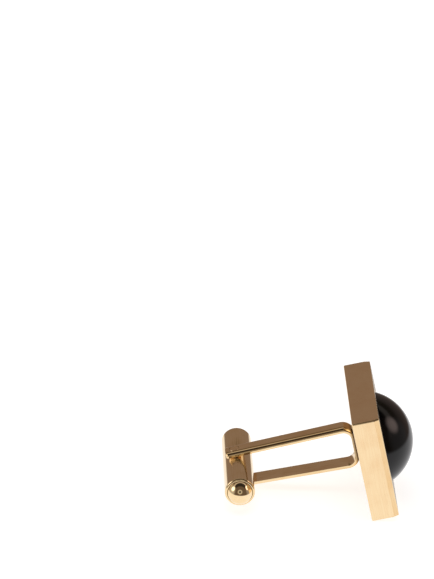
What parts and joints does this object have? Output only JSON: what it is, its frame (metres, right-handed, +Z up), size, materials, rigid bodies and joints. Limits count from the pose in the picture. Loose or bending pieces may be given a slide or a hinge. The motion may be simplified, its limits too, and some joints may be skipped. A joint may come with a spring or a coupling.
{
  "type": "cufflink",
  "caption": "Rectangular gold-plated cufflink with a black domed stone in a brushed front, and a swivel bar that turns on a pin between the arms of a stirrup.",
  "frame": {"origin": "on the table, under the centre of the box round the whole cufflink, as it stands on the face box's lower edge and the lower arm's end", "axes": "+Z up; the domed face looks along -Y and leans back by 14.7 degrees; the arms run towards +Y; the swivel bar lies along X"},
  "size_m": [0.019, 0.027, 0.0162],
  "materials": {
    "brushed_gold_plate": "brushed front, polished sides",
    "polished_gold_plate": "polished gold plate",
    "black_onyx": "polished opaque black stone",
    "stone_cement": "set cement",
    "spring_steel": "tempered strip"
  },
  "bodies": {
    "face_and_stirrup": {"face_shell": "brushed_gold_plate", "back_plate": "polished_gold_plate", "stone_cement": "stone_cement", "onyx_dome": "black_onyx", "stirrup": "polished_gold_plate", "pivot_pin": "polished_gold_plate"},
    "swivel_bar": {"bar_tube": "polished_gold_plate", "end_ball_left": "polished_gold_plate", "end_ball_right": "polished_gold_plate", "detent_spring": "spring_steel"}
  },
  "joints": [
    {"name": "bar_swivel", "type": "hinge", "parent": "face_and_stirrup", "child": "swivel_bar", "pos_m": [0, 0.01142, 0.00313], "axis": [0, 0.254, 0.9672], "continuous": true, "deforming": ["detent_spring"]}
  ]
}
